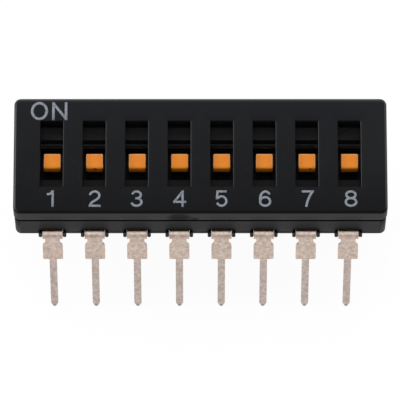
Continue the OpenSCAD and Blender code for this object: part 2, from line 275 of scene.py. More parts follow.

# Injection-moulded glass-filled PBT from a spark-eroded mould. The eye sees a dead black skin with
# a very fine even grain, cloudy patches where the melt flowed, a few pale dust specks, and upper
# edges that handling has polished. Painted shade darkens it under the lip, over the windows and on
# its front edges, and painted light makes parts of it paler.
mouldedPbt = {
    "clouds": {"Scale": perMetre(2.2), "Detail": 3.0},
    "cloudReach": {"From Min": 0.35, "From Max": 0.65},  # between the plain and the cloud colour
    "specks": {"Scale": perMetre(0.35)},
    "ior": 1.50,
    "specularLevel": 0.095,  # the eroded texture swallows most of the mirror part
    "polishRoughness": 0.30,
    # the polish grows with how far the edge is turned, up to this much of a smooth skin, and
    # with how far it still looks up
    "polishReach": {"From Min": 0.08, "From Max": 0.30, "To Max": 0.62},
    "polishUpward": {"From Min": 0.50, "From Max": 0.80},
    "rightPolish": 0.44,  # the right edges have had this much of what the left ones have
    # inside these the slots' right and back edges keep their rough skin
    "slotsX": {"From Min": 10.0, "From Max": 10.4},
    "slotsY": {"From Min": 2.5, "From Max": 2.9},
    # smudges on the cover's front: the middle and the radius of each
    "smudges": [(-1.25, -3.66, 2.90, 0.80), (-0.35, -3.66, 2.60, 0.35)],
    "smudgeCore": 0.5,
    "smudgeRagged": 0.5,
    "smudgeStrength": 0.40,
    # dirt and painted shade leave the skin this rough
    "dirtAndShadeRoughness": 1.0,
    # the real grain is finer: each skin's is drawn this coarse so that it shows
    "skins": {
        "cover": {
            "colour": "0e0f11",
            "cloud": "131416",
            "roughness": {"To Min": 0.46, "To Max": 0.60},
            "grain": {"Scale": perMetre(0.13), "Roughness": 0.6},
            "grainDepth": 0.004,
            "patches": [
                # painted light and shade: the face is a little paler towards the back and the
                # right, and darker in front
                ("15161a", 1.0, False, [("y", -1.0, 3.3), ("upward", 0.0, 1.0)]),
                ("18191c", 0.6, False, [("x", 8.0, 10.5), ("upward", 0.0, 1.0)]),
                ("0a0b0d", 1.0, False, [("y", -0.5, -3.0), ("upward", 0.0, 1.0)]),
                # painted highlights: paler along its back edge, and on the sides under their top
                # edge
                ("2c2c2d", 1.0, False, [("y", 3.36, 3.60), ("upward", 0.0, 1.0)]),
                ("343436", 1.0, False, [("z", 2.75, 3.50), ("awayY", 3.55, 3.60)]),
                ("343436", 1.0, False, [("z", 2.75, 3.50), ("awayX", 11.00, 11.05)]),
            ],
        },
        "base": {
            "colour": "131314",
            "cloud": "18181a",
            "roughness": {"To Min": 0.46, "To Max": 0.60},
            "grain": {"Scale": perMetre(0.13), "Roughness": 0.6},
            "grainDepth": 0.004,
            "patches": [
                # painted light: paler behind the knobs, in the tray under the slots
                ("242425", 1.0, False, [("y", -0.2, 0.3), *inTray]),
                # painted light: paler again on the steps and just over and under them
                (
                    "868688", 1.0, False,
                    [("z", 1.62, 1.78), ("z", 1.95, 1.80), ("y", 1.10, 1.20), *inTray],
                ),
                # painted shade under the cover's lip, along the sides and at the ends
                (grimeAndShade, 1.0, True, [("z", 2.12, 2.17), ("awayY", 3.50, 3.55)]),
                (grimeAndShade, 1.0, True, [("z", 2.12, 2.17), ("awayX", 11.00, 11.05)]),
                # painted shade: a soft veil over each window, thicker near the window and thickest
                # in it
                (grimeAndShade, 0.18, True, [("z", 2.30, 1.20), ("toSlot", 0.82, 0.50), *onSides]),
                (grimeAndShade, 0.45, True, [("z", 1.35, 0.85), ("toSlot", 0.82, 0.50), *onSides]),
                (grimeAndShade, 0.80, True, [("z", 0.80, 0.64), ("toSlot", 0.82, 0.68), *onSides]),
                # painted light on the guards beside the leads, the only parts that stand out
                # further than the side
                ("504e4c", 1.0, False, [("awayY", 3.63, 3.69)]),
            ],
        },
        "slider": {
            "colour": "0b0b0c",
            "cloud": "0f0f10",
            "roughness": {"To Min": 0.44, "To Max": 0.54},
            "grain": {"Scale": perMetre(0.10), "Roughness": 0.6},
            "grainDepth": 0.002,
            "patches": [],
        },
    },
    "dust": ("55565a", 0.35, False, [("speck", 0.09, 0.05)]),
    "frontEdge": ("050506", 1.0, False, [("frontal", -0.04, -0.22)]),  # painted shade: the front edges are darker
}


def makeMouldedPbt(name, skin, look):
    material, tree = newMaterial(name)
    measures = measuresOf(tree)
    where = measures["object"]
    clouds = addNode(tree, "ShaderNodeTexNoise", look["clouds"], {"Vector": where})
    grain = addNode(tree, "ShaderNodeTexNoise", skin["grain"], {"Vector": where})
    measures["speck"] = addNode(tree, "ShaderNodeTexVoronoi", look["specks"], {"Vector": where})

    flow = addNode(tree, "ShaderNodeMapRange", look["cloudReach"], {"Value": clouds})
    colour = {"data_type": "RGBA", 6: linear(skin["colour"]), 7: linear(skin["cloud"])}
    colour = addNode(tree, "ShaderNodeMix", colour, {0: flow})
    patches = [look["dust"], *skin["patches"], look["frontEdge"]]
    for k, (*middle, radius) in enumerate(look["smudges"]):
        bounds = addStain(
            tree, measures, f"smudge_{k}", middle, radius, look["smudgeCore"], grain,
            look["smudgeRagged"],
        )
        patches.append((grimeAndShade, look["smudgeStrength"], True, bounds))
    colour, dirtAndShade = addPatches(tree, colour, patches, measures)
    # how free each point is of dirt and painted shade; it sets the tint of the gloss
    cleanAndUnshaded = addNode(tree, "ShaderNodeMath", {"operation": "SUBTRACT", 0: 1.0}, {1: dirtAndShade})

    # polish goes by the larger of leftward and a share of rightward, plus backward, but inside
    # the slots' area only by leftward
    left = {"operation": "MULTIPLY", 1: -1.0}
    left = addNode(tree, "ShaderNodeMath", left, {0: measures["facingX"]})
    outer = addNode(tree, "ShaderNodeMapRange", look["slotsX"], {"Value": measures["awayX"]})
    past = addNode(tree, "ShaderNodeMapRange", look["slotsY"], {"Value": measures["awayY"]})
    outer = addNode(tree, "ShaderNodeMath", {"operation": "MAXIMUM"}, {0: outer, 1: past})
    right = {"operation": "MULTIPLY", 1: look["rightPolish"]}
    right = addNode(tree, "ShaderNodeMath", right, {0: measures["facingX"]})
    right = addNode(tree, "ShaderNodeMath", {"operation": "MULTIPLY"}, {0: right, 1: outer})
    aside = addNode(tree, "ShaderNodeMath", {"operation": "MAXIMUM"}, {0: left, 1: right})
    back = {0: measures["frontal"], 1: outer}
    back = addNode(tree, "ShaderNodeMath", {"operation": "MULTIPLY"}, back)
    back = addNode(tree, "ShaderNodeMath", {"operation": "MAXIMUM", 1: 0.0}, {0: back})
    turned = {0: aside, 1: measures["upward"], 2: back}
    turned = addNode(tree, "ShaderNodeMath", {"operation": "MULTIPLY_ADD"}, turned)
    polish = addNode(tree, "ShaderNodeMapRange", look["polishReach"], {"Value": turned})
    level = {"Value": measures["upward"]}
    level = addNode(tree, "ShaderNodeMapRange", look["polishUpward"], level)
    polish = addNode(tree, "ShaderNodeMath", {"operation": "MULTIPLY"}, {0: polish, 1: level})

    gloss = addNode(tree, "ShaderNodeMapRange", skin["roughness"], {"Value": grain})
    gloss = addNode(tree, "ShaderNodeMix", {3: look["dirtAndShadeRoughness"]}, {0: dirtAndShade, 2: gloss})
    relief = {"Distance": skin["grainDepth"] * mm}
    relief = addNode(tree, "ShaderNodeBump", relief, {"Height": grain})
    shader = {
        "IOR": look["ior"],
        "Specular IOR Level": look["specularLevel"],
        "Coat Roughness": look["polishRoughness"],
    }
    links = {
        "Base Color": colour, "Roughness": gloss, "Normal": relief, "Specular Tint": cleanAndUnshaded,
        "Coat Weight": polish,
    }
    shader = addNode(tree, "ShaderNodeBsdfPrincipled", shader, links)
    addNode(tree, "ShaderNodeOutputMaterial", links={"Surface": shader})
    return material


# Injection-moulded orange polyamide, from a smoother mould. It has a soft sheen, a slight
# unevenness of colour, edges that fingers have polished, painted highlights on its upper edges and
# front, and a dirty chip on two of the caps.
mouldedPolyamide = {
    "colour": "e5871f",
    "flow": "de7f1a",
    "chip": "5a3212",
    # each chip's cap, how far it is right of the middle and down from the top, and its radius
    "chips": [(2, 0.03, 0.20, 0.16), (7, 0.22, 0.16, 0.11)],
    "chipCore": 0.7,
    "chipRagged": 0.12,
    "chipStrength": 0.8,
    "paintedEdgeHighlight": ("f8bd80", 0.60, False, [("turned", 0.04, 0.25)]),  # painted highlight: the edges are paler
    "paintedFrontLight": ("fb9c2c", 0.9, False, [("frontal", -0.30, -0.60)]),  # painted light: the front is brighter
    "clouds": {"Scale": perMetre(0.6)},
    "grain": {"Scale": perMetre(0.09)},  # coarser than the real grain, so that it shows
    "grainDepth": 0.0015,
    "roughness": {"To Min": 0.34, "To Max": 0.46},
    "ior": 1.53,
    "specularLevel": 0.22,
    "polishRoughness": 0.24,
    "polishReach": {"From Min": 0.04, "From Max": 0.18},
}


def makeMouldedPolyamide(look):
    material, tree = newMaterial("mouldedOrangePolyamide")
    measures = measuresOf(tree)
    where = measures["object"]
    clouds = addNode(tree, "ShaderNodeTexNoise", look["clouds"], {"Vector": where})
    grain = addNode(tree, "ShaderNodeTexNoise", look["grain"], {"Vector": where})
    colour = {"data_type": "RGBA", 6: linear(look["colour"]), 7: linear(look["flow"])}
    colour = addNode(tree, "ShaderNodeMix", colour, {0: clouds})
    # how far an upper edge is turned to the sides or the back
    aside = addNode(tree, "ShaderNodeMath", {"operation": "ABSOLUTE"}, {0: measures["facingX"]})
    aside = {0: aside, 1: measures["upward"]}
    aside = addNode(tree, "ShaderNodeMath", {"operation": "MULTIPLY"}, aside)
    turned = {0: aside, 1: measures["frontal"]}
    turned = addNode(tree, "ShaderNodeMath", {"operation": "MAXIMUM"}, turned)
    measures["turned"] = turned
    patches = [look["paintedEdgeHighlight"], look["paintedFrontLight"]]
    for k, right, down, radius in look["chips"]:
        low, high = np.array(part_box(f"knob_{k}")) / mm
        middle = ((low[0] + high[0]) / 2 + right, low[1], high[2] - down)
        bounds = addStain(
            tree, measures, f"chip_{k}", middle, radius, look["chipCore"], grain,
            look["chipRagged"],
        )
        patches.append((look["chip"], look["chipStrength"], False, bounds))
    colour, _ = addPatches(tree, colour, patches, measures)
    polish = addNode(tree, "ShaderNodeMapRange", look["polishReach"], {"Value": turned})
    gloss = addNode(tree, "ShaderNodeMapRange", look["roughness"], {"Value": grain})
    relief = {"Distance": look["grainDepth"] * mm}
    relief = addNode(tree, "ShaderNodeBump", relief, {"Height": grain})
    shader = {
        "IOR": look["ior"],
        "Specular IOR Level": look["specularLevel"],
        "Coat Roughness": look["polishRoughness"],
    }
    links = {"Base Color": colour, "Roughness": gloss, "Normal": relief, "Coat Weight": polish}
    shader = addNode(tree, "ShaderNodeBsdfPrincipled", shader, links)
    addNode(tree, "ShaderNodeOutputMaterial", links={"Surface": shader})
    return material


# Matte tin plated on stamped brass. The plating is fine-grained and warm, a little mottled, with
# faint rolling lines along the strip.
tinPlate = {
    "colour": "d6c4b9",
    "mottle": "b6a295",
    "mottling": {"Scale": perMetre(0.22), "Detail": 4.0, "Roughness": 0.6},
    "mottleReach": {"From Min": 0.35, "From Max": 0.65},
    "inside": ("6f5c4a", 1.0, False, [("awayY", 3.63, 3.57)]),  # painted shade where the lead runs into the housing
    "pinTint": "eff3f8",  # multiplies the colour of the pins, which the cutter leaves duller
    "pinReach": {"From Min": -1.5, "From Max": -2.1},
    "grain": {"Scale": perMetre(0.07)},  # coarser than the real crystals, so that it shows
    "grainDepth": 0.003,
    "lineSize": 0.05,  # and the rolling lines are coarser too
    "lineLength": 2.5,
    "roughness": {"To Min": 0.30, "To Max": 0.40},
}


def makeTinPlate(look):
    material, tree = newMaterial("matteTinPlate")
    measures = measuresOf(tree)
    where = measures["object"]
    mottling = addNode(tree, "ShaderNodeTexNoise", look["mottling"], {"Vector": where})
    grain = addNode(tree, "ShaderNodeTexNoise", look["grain"], {"Vector": where})
    fine, long = perMetre(look["lineSize"]), perMetre(look["lineLength"])
    along = addNode(tree, "ShaderNodeMapping", {"Scale": (fine, long, long)}, {"Vector": where})
    lines = addNode(tree, "ShaderNodeTexNoise", {"Scale": 1.0}, {"Vector": along})

    patchy = addNode(tree, "ShaderNodeMapRange", look["mottleReach"], {"Value": mottling})
    colour = {"data_type": "RGBA", 6: linear(look["colour"]), 7: linear(look["mottle"])}
    colour = addNode(tree, "ShaderNodeMix", colour, {0: patchy})
    pin = addNode(tree, "ShaderNodeMapRange", look["pinReach"], {"Value": measures["z"]})
    duller = {"data_type": "RGBA", "blend_type": "MULTIPLY", 7: linear(look["pinTint"])}
    colour = addNode(tree, "ShaderNodeMix", duller, {0: pin, 6: colour})
    colour, _ = addPatches(tree, colour, [look["inside"]], measures)

    gloss = addNode(tree, "ShaderNodeMapRange", look["roughness"], {"Value": lines})
    both = addNode(tree, "ShaderNodeMath", {"operation": "ADD"}, {0: lines, 1: grain})
    relief = {"Distance": look["grainDepth"] * mm}
    relief = addNode(tree, "ShaderNodeBump", relief, {"Height": both})
    links = {"Base Color": colour, "Roughness": gloss, "Normal": relief}
    shader = addNode(tree, "ShaderNodeBsdfPrincipled", {"Metallic": 1.0}, links)
    addNode(tree, "ShaderNodeOutputMaterial", links={"Surface": shader})
    return material


# Rolled spring brass: clean, yellow, with fine lines from the rollers.
springBrass = {
    "colour": "c9a561",
    "dull": "b08f50",
    "patches": {"Scale": perMetre(0.4), "Detail": 3.0},
    "lineSize": 0.03,  # coarser than the real lines, so that they show
    "lineLength": 16.7,
    "lineDepth": 0.001,
    "roughness": 0.28,
}


def makeSpringBrass(look):
    material, tree = newMaterial("rolledSpringBrass")
    where = addNode(tree, "ShaderNodeTexCoord").outputs["Object"]
    patches = addNode(tree, "ShaderNodeTexNoise", look["patches"], {"Vector": where})
    fine, long = perMetre(look["lineSize"]), perMetre(look["lineLength"])
    across = addNode(tree, "ShaderNodeMapping", {"Scale": (fine, long, long)}, {"Vector": where})
    lines = addNode(tree, "ShaderNodeTexNoise", {"Scale": 1.0}, {"Vector": across})
    colour = {"data_type": "RGBA", 6: linear(look["colour"]), 7: linear(look["dull"])}
    colour = addNode(tree, "ShaderNodeMix", colour, {0: patches})
    relief = {"Distance": look["lineDepth"] * mm}
    relief = addNode(tree, "ShaderNodeBump", relief, {"Height": lines})
    shader = {"Metallic": 1.0, "Roughness": look["roughness"]}
    links = {"Base Color": colour, "Normal": relief}
    shader = addNode(tree, "ShaderNodeBsdfPrincipled", shader, links)
    addNode(tree, "ShaderNodeOutputMaterial", links={"Surface": shader})
    return material


# Pad-printed epoxy ink, laid on thin. It is a cool pale gray, uneven where the black skin's
# grain shows through, and a little rubbed.
padInk = {
    "colour": "7c828c",
    "thin": "595e65",
    "patches": {"Scale": perMetre(0.16), "Detail": 4.0},
    "thinReach": {"From Min": 0.52, "From Max": 0.72},
    "grain": {"Scale": perMetre(0.06)},  # coarser than the real pigment, so that it shows
    "grainDepth": 0.002,
    "roughness": 0.5,
    "ior": 1.5,
}


def makePadInk(look):
    material, tree = newMaterial("padPrintedInk")
    where = addNode(tree, "ShaderNodeTexCoord").outputs["Object"]
    patches = addNode(tree, "ShaderNodeTexNoise", look["patches"], {"Vector": where})
    grain = addNode(tree, "ShaderNodeTexNoise", look["grain"], {"Vector": where})
    thin = addNode(tree, "ShaderNodeMapRange", look["thinReach"], {"Value": patches})
    colour = {"data_type": "RGBA", 6: linear(look["colour"]), 7: linear(look["thin"])}
    colour = addNode(tree, "ShaderNodeMix", colour, {0: thin})
    relief = {"Distance": look["grainDepth"] * mm}
    relief = addNode(tree, "ShaderNodeBump", relief, {"Height": grain})
    shader = {"Roughness": look["roughness"], "IOR": look["ior"]}
    links = {"Base Color": colour, "Normal": relief}
    shader = addNode(tree, "ShaderNodeBsdfPrincipled", shader, links)
    addNode(tree, "ShaderNodeOutputMaterial", links={"Surface": shader})
    return material


coverPlastic, basePlastic, sliderPlastic = [
    makeMouldedPbt(f"mouldedPbt{name.capitalize()}", skin, mouldedPbt)
    for name, skin in mouldedPbt["skins"].items()
]
knobPlastic = makeMouldedPolyamide(mouldedPolyamide)
tin = makeTinPlate(tinPlate)
brass = makeSpringBrass(springBrass)
ink = makePadInk(padInk)
print("materials made")


cover = {
    "bottom": 2.46,  # the lip of the skirt, at the parting line
    "corner": 0.40,  # upright corners
    "edge": 0.18,  # soft top edge
    "lipEdge": 0.02,
    "skirt": 0.50,
    "skirtCorner": 0.18,
    "roof": 1.10,
    "slotLength": 4.16,
    "slotWidth": 1.35,
    "slotY": 0.10,
    "slotCorner": 0.05,
    "slotEdge": 0.058,
    "tileHalf": 3.00,  # half length of the part of the face that belongs to the slots
    "tileSteps": (6, 8),  # along the end and the side of each slot
    "cornerSteps": 6,
    "edgeSteps": 8,
    "lipSteps": 3,
    "slotEdgeSteps": 4,
    "pegRadius": 0.28,
    "pegLength": 1.20,
    "pegRoot": 0.10,  # how far a peg runs up into the roof
    "pegSteps": 8,
    "pegIn": (1.02, 1.25),  # from the ends and from the sides of the body
}


# The outer shell runs from under the roof down the skirt, round its lip, up the outside and over
# the soft edge to the face. Each slot is a tile: from the face over the slot's round edge, down
# its wall and out under the roof. Tiles and shell meet point to point, so they weld.
def makeCover(size):
    halfX, halfY, height = np.array(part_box("cover")[1]) / mm
    top, roof, lip = height - body["faceDrop"], height - size["roof"], size["bottom"]
    tileX, tileY = body["pitch"] / 2, size["tileHalf"]
    stepsX, stepsY = size["tileSteps"]
    outside = (halfX, halfY, size["corner"], 0)
    inside = (halfX - size["skirt"], halfY - size["skirt"], size["skirtCorner"], 0)
    edge = quarterRound(size["edge"], size["edgeSteps"])
    lipEdge = quarterRound(size["lipEdge"], size["lipSteps"])
    slotEdge = quarterRound(size["slotEdge"], size["slotEdgeSteps"])

    shell = [(tileX * body["positions"], tileY, 0, 0, roof), (*inside, roof)]
    shell += edgeRows(inside, lip, lipEdge, -1, 1)
    shell += edgeRows(outside, lip, lipEdge[::-1], 1, 1)
    shell += edgeRows(outside, top, edge, 1, -1)
    shell += [(tileX * body["positions"], tileY, 0, 0, top)]
    loop = roundLoop(stepsX * body["positions"], stepsY, size["cornerSteps"])
    grids = [loopSurface(shell, loop)]

    slot = (size["slotWidth"] / 2, size["slotLength"] / 2, size["slotCorner"], size["slotY"])
    tile = [(tileX, tileY, 0, 0, top), *edgeRows(slot, top, slotEdge[::-1], -1, -1)]
    tile += [(*slot, roof), (tileX, tileY, 0, 0, roof)]
    loop = roundLoop(stepsX, stepsY, size["cornerSteps"])
    grids += [loopSurface(tile, loop, slotX(k)) for k in range(1, body["positions"] + 1)]

    radius, head, foot = size["pegRadius"], roof + size["pegRoot"], roof - size["pegLength"]
    pegX, pegY = halfX - size["pegIn"][0], halfY - size["pegIn"][1]
    for x in (-pegX, pegX):
        for y in (-pegY, pegY):
            peg = [(0, 0, 0, y, head), (radius, radius, radius, y, head)]
            peg += [(radius, radius, radius, y, foot), (0, 0, 0, y, foot)]
            grids.append(loopSurface(peg, roundLoop(1, 1, size["pegSteps"]), x))
    mesh = meshFromGrids("coverShell", grids)
    piece = addPiece("coverShell", mesh, coverPlastic, "housing", ["cover"])
    weighNormals(piece)


makeCover(cover)
print("cover made")


base = {
    "edge": 0.02,  # every sharp edge of the moulding is broken this much
    "steps": 2,
    "sharpFrom": 40,  # degrees between two faces
    "flatWithin": 0.5,  # faces that turn less than this many degrees are one flat face
}


# A welded copy of a CAD node. Its flat faces are made whole, and all but the small ones are then
# cut into triangles, which leaves room for its edges to be rounded.
def weldedCopy(node, name, flatWithin):
    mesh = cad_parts[node].data.copy()
    mesh.name = name
    shell = bmesh.new()
    shell.from_mesh(mesh)
    bmesh.ops.remove_doubles(shell, verts=shell.verts, dist=weldReach)
    flat = math.radians(flatWithin)
    bmesh.ops.dissolve_limit(shell, angle_limit=flat, verts=shell.verts, edges=shell.edges)
    bmesh.ops.triangulate(shell, faces=[f for f in shell.faces if len(f.verts) > 4])
    for edge in shell.edges:
        edge.smooth = True
    shell.to_mesh(mesh)
    shell.free()
    if "custom_normal" in mesh.attributes:
        mesh.attributes.remove(mesh.attributes["custom_normal"])
    return mesh


def makeBase(size):
    mesh = weldedCopy("base", "baseTray", size["flatWithin"])
    piece = addPiece("baseTray", mesh, basePlastic, "housing", ["base"])
    rounding = piece.modifiers.new("brokenEdges", "BEVEL")
    rounding.width = size["edge"] * mm
    rounding.segments = size["steps"]
    rounding.limit_method = "ANGLE"
    rounding.angle_limit = math.radians(size["sharpFrom"])
    rounding.miter_outer = "MITER_ARC"
    weighNormals(piece)


makeBase(base)
print("base made")


knob = {
    "width": 1.05,
    "length": 0.94,
    "corner": 0.09,
    # how far the top edge comes in at each side, more at the worn front, and how far it goes down
    "edge": {"side": 0.05, "front": 0.155, "back": 0.06, "down": 0.17},
    "lowerEdge": 0.13,
    # each cap sits this much to the right on its slider's peg
    "play": (0.035, 0.022, 0.036, 0.032, 0.003, 0.010, 0.022, 0.028),
    "dish": 0.006,  # the top sinks this much as the moulding cools
    "socket": 0.41,  # side of the square socket for the slider's peg
    "socketHeight": 0.41,
    "socketCorner": 0.01,
    "loopSteps": (8, 8, 5),  # along the ends, along the sides and round each corner
    "edgeSteps": 8,
    "lowerSteps": 3,
    "dishSteps": 6,
}


# One closed surface: from the middle of the socket's roof down its walls, out under the knob,
# up the outside, over the round top edge and in to the middle of the slightly sunk top.
def makeKnob(k, size):
    low, high = [np.array(c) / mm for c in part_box(f"knob_{k}")]
    (x, middle, _), bottom, top = (low + high) / 2, low[2], high[2]
    halfX, halfY, corner = size["width"] / 2, size["length"] / 2, size["corner"]
    hole, roof = size["socket"] / 2, bottom + size["socketHeight"]
    socket = (hole, hole, size["socketCorner"], middle)
    rows = [(0, 0, 0, middle, roof), (*socket, roof), (*socket, bottom)]
    onPeg = len(rows)
    under = quarterRound(size["lowerEdge"], size["lowerSteps"])
    rows += edgeRows((halfX, halfY, corner, middle), bottom, under[::-1], 1, 1)
    edge = size["edge"]
    mean, shift = (edge["front"] + edge["back"]) / 2, (edge["front"] - edge["back"]) / 2
    for i, d in quarterRound(1.0, size["edgeSteps"]):
        aside = edge["side"] * i
        outline = (halfX - aside, halfY - mean * i, corner - aside, middle + shift * i)
        rows.append((*outline, top - edge["down"] * d))
    topX, topY, topCorner, topMiddle, _ = rows[-1]
    for share in np.linspace(1, 0, size["dishSteps"] + 1)[1:]:
        sunk = size["dish"] * (1 - share ** 2)
        rows.append((topX * share, topY * share, topCorner * share, topMiddle, top - sunk))
    centre = np.full((len(rows), 1), x + size["play"][k - 1])
    centre[:onPeg] = x  # the socket stays on the slider's peg
    name = f"knobCap_{k}"
    mesh = meshFromGrids(name, [loopSurface(rows, roundLoop(*size["loopSteps"]), centre)])
    piece = addPiece(name, mesh, knobPlastic, f"slide_{k}", [f"knob_{k}"])
    weighNormals(piece)


for k in range(1, body["positions"] + 1):
    makeKnob(k, knob)
print("knobs made")


terminal = {
    "thickness": 0.20,
    "edge": 0.02,  # sheared edges, slightly round
    "padEnd": {"front": -0.30, "back": 0.60},  # where the pad begins, from the middle outwards
    "padTop": 0.75,
    "padWidth": 0.90,
    "rampTop": {"front": 1.33, "back": 1.53},
    "rampLength": 0.65,
    "leadTop": 0.30,
    "leadWidth": 1.21,
    "leadEnd": 3.53,  # where the bend begins
    "insideBend": 0.32,
    "bend": 70,  # degrees, so the legs splay 20 degrees from upright
    "neckFrom": 0.05,  # the strip narrows this far before the end of the bend
    "neckWidth": 0.89,
    "neckLength": 0.37,
    "shoulderRadius": 0.34,
    "shoulderEnd": 1.82,
    "pinWidth": 0.44,
    "legLength": 6.335,
    "tipLength": 0.30,
    "tipWidth": 0.14,
    "cornerRadius": 0.06,  # plan radius of the stamped corners
    "bendRadius": 0.10,  # at the head and foot of the ramp
    "padCut": 0.010,  # the length over which the strip widens after the pad
    "neckCut": 0.005,  # and the length over which it narrows to the neck
    "pinFrom": 0.30,  # the straight part of the pin starts this far below the shoulder
    "sectionSteps": (6, 1, 3),  # across the strip, through it and round each sheared edge
    "bendSteps": 8,
    "shoulderSteps": 12,
    "cornerSteps": 4,
    "pinSteps": 5,
    "pathSteps": 20000,
}


# Centreline of a strip in (y, z): it turns at a steady rate between the listed lengths, so its
# heading is a broken line over the length, and its place is the running sum of that heading.
def stripPath(lengths, headings, start, steps):
    s = np.linspace(0, lengths[-1], steps + 1)
    turn = np.interp(s, lengths, headings)
    step, mean = np.diff(s), (turn[1:] + turn[:-1]) / 2
    y = start[0] + np.concatenate([[0], np.cumsum(step * np.cos(mean))])
    z = start[1] + np.concatenate([[0], np.cumsum(step * np.sin(mean))])
    return s, y, z, turn


# A round-cornered section as wide as the strip is at each station, carried along the centreline
# and square to it. Both ends close on a point.
def makeTerminal(k, row, size):
    side = -1 if row == "front" else 1
    half, radius, bend = size["thickness"] / 2, size["bendRadius"], math.radians(size["bend"])
    padEnd, rampTop, rampLength = size["padEnd"][row], size["rampTop"][row], size["rampLength"]
    fall = size["padTop"] - size["leadTop"]
    drop = math.atan2(fall, rampLength)
    cut, offset = radius * math.tan(drop / 2), half * math.tan(drop / 2)
    # the centreline's pieces, each with its length and its heading at its end
    pieces = [
        (rampTop - padEnd - offset - cut, 0),
        (radius * drop, -drop),
        (math.hypot(rampLength, fall) - 2 * cut, -drop),
        (radius * drop, 0),
        (size["leadEnd"] - rampTop - rampLength + offset - cut, 0),
        ((size["insideBend"] + half) * bend, -bend),
        (size["legLength"], -bend),
    ]
    lengths = np.concatenate([[0], np.cumsum([length for length, _ in pieces])])
    headings = [0] + [heading for _, heading in pieces]
    start = (padEnd, size["padTop"] - half)
    s, y, z, heading = stripPath(lengths, headings, start, size["pathSteps"])

    wide, leg = lengths[1] + cut, lengths[-2]
    narrow, neckEnd = leg - size["neckFrom"], leg + size["neckLength"]
    shoulderEnd, tip = leg + size["shoulderEnd"], leg + size["legLength"]
    pinStart, pinEnd = shoulderEnd + size["pinFrom"], tip - size["tipLength"]
    pad, full, neck, pin = [size[part + "Width"] / 2 for part in ("pad", "lead", "neck", "pin")]
    r, soft = size["shoulderRadius"], size["cornerRadius"]
    arc = np.linspace(0, r, size["shoulderSteps"] + 1)[1:]
    turn = np.linspace(0, math.pi / 2, size["cornerSteps"] + 1)
    # the outline, as lengths along the strip and the half widths there: the pad, the lead, the
    # bend, the neck, a quarter circle out to the shoulder and two small ones in to the pin
    outline = [
        ([0, wide - size["padCut"], wide], [pad, pad, full]),
        (lengths[2:5], full),
        (np.linspace(lengths[5], leg, size["bendSteps"] + 1)[:-1], full),
        ([narrow - size["neckCut"], narrow, leg, neckEnd], [full, neck, neck, neck]),
        (neckEnd + arc, np.maximum(neck, full - r + np.sqrt(r ** 2 - (r - arc) ** 2))),
        (shoulderEnd - soft + soft * np.sin(turn), full - soft + soft * np.cos(turn)),
        ([shoulderEnd], pin + soft),
        (shoulderEnd + soft * (1 - np.cos(turn)), pin + soft * (1 - np.sin(turn))),
        (np.linspace(pinStart, pinEnd, size["pinSteps"] + 1), pin),
        ([tip], size["tipWidth"] / 2),
    ]
    stations = np.concatenate([along for along, _ in outline])
    widths = np.concatenate([np.broadcast_to(width, np.shape(along)) for along, width in outline])

    y, z, heading = [np.interp(stations, s, v)[:, None] for v in (y, z, heading)]
    place, facing = roundLoop(*size["sectionSteps"])
    edge = size["edge"]
    across = (widths[:, None] - edge) * place[:, 0] + edge * facing[:, 0]
    out = (half - edge) * place[:, 1] + edge * facing[:, 1]
    px, py = slotX(k) + side * across, side * (y - out * np.sin(heading))
    grid = np.stack([px, py, z + out * np.cos(heading)], -1)
    name = f"terminalStrip_{row}_{k}"
    mesh = meshFromGrids(name, [closeEnds(grid)])
    piece = addPiece(name, mesh, tin, "housing", [f"terminal_{row}_{k}"])
    weighNormals(piece)


for k in range(1, body["positions"] + 1):
    for row in ("front", "back"):
        makeTerminal(k, row, terminal)
print("terminals made")


# Sliders and contact springs keep their CAD shape and take real finishes.
for k in range(1, body["positions"] + 1):
    for node, finish in ((f"slider_{k}", sliderPlastic), (f"contact_spring_{k}", brass)):
        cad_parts[node].data.materials[0] = finish
print("inner pieces finished")


legend = {
    "thickness": 0.002,
    "root": 0.002,  # the ink reaches this far into the face
    "layer": 0.0004,  # each stroke of a sign lies this much over the one before, so none coincide
    "bowPoints": 33,
    "bendPoints": 25,
    "digitStroke": 0.140,
    "digitFoot": -3.275,
    "digitHeight": 1.045,
    # each digit's centre, from the middle of its slot, and its width
    "digits": {
        "1": (-0.035, 0.405), "2": (0.066, 0.715), "3": (0.022, 0.73), "4": (0.036, 0.78),
        "5": (-0.016, 0.72), "6": (0.042, 0.735), "7": (0.045, 0.72), "8": (0.070, 0.765),
    },
    "wordStroke": 0.160,
    "wordFoot": 2.245,
    # each letter's centre, from the middle of the face, its width and its height
    "words": {"O": (-9.635, 1.03, 1.165), "N": (-8.421, 0.915, 1.145)},
}

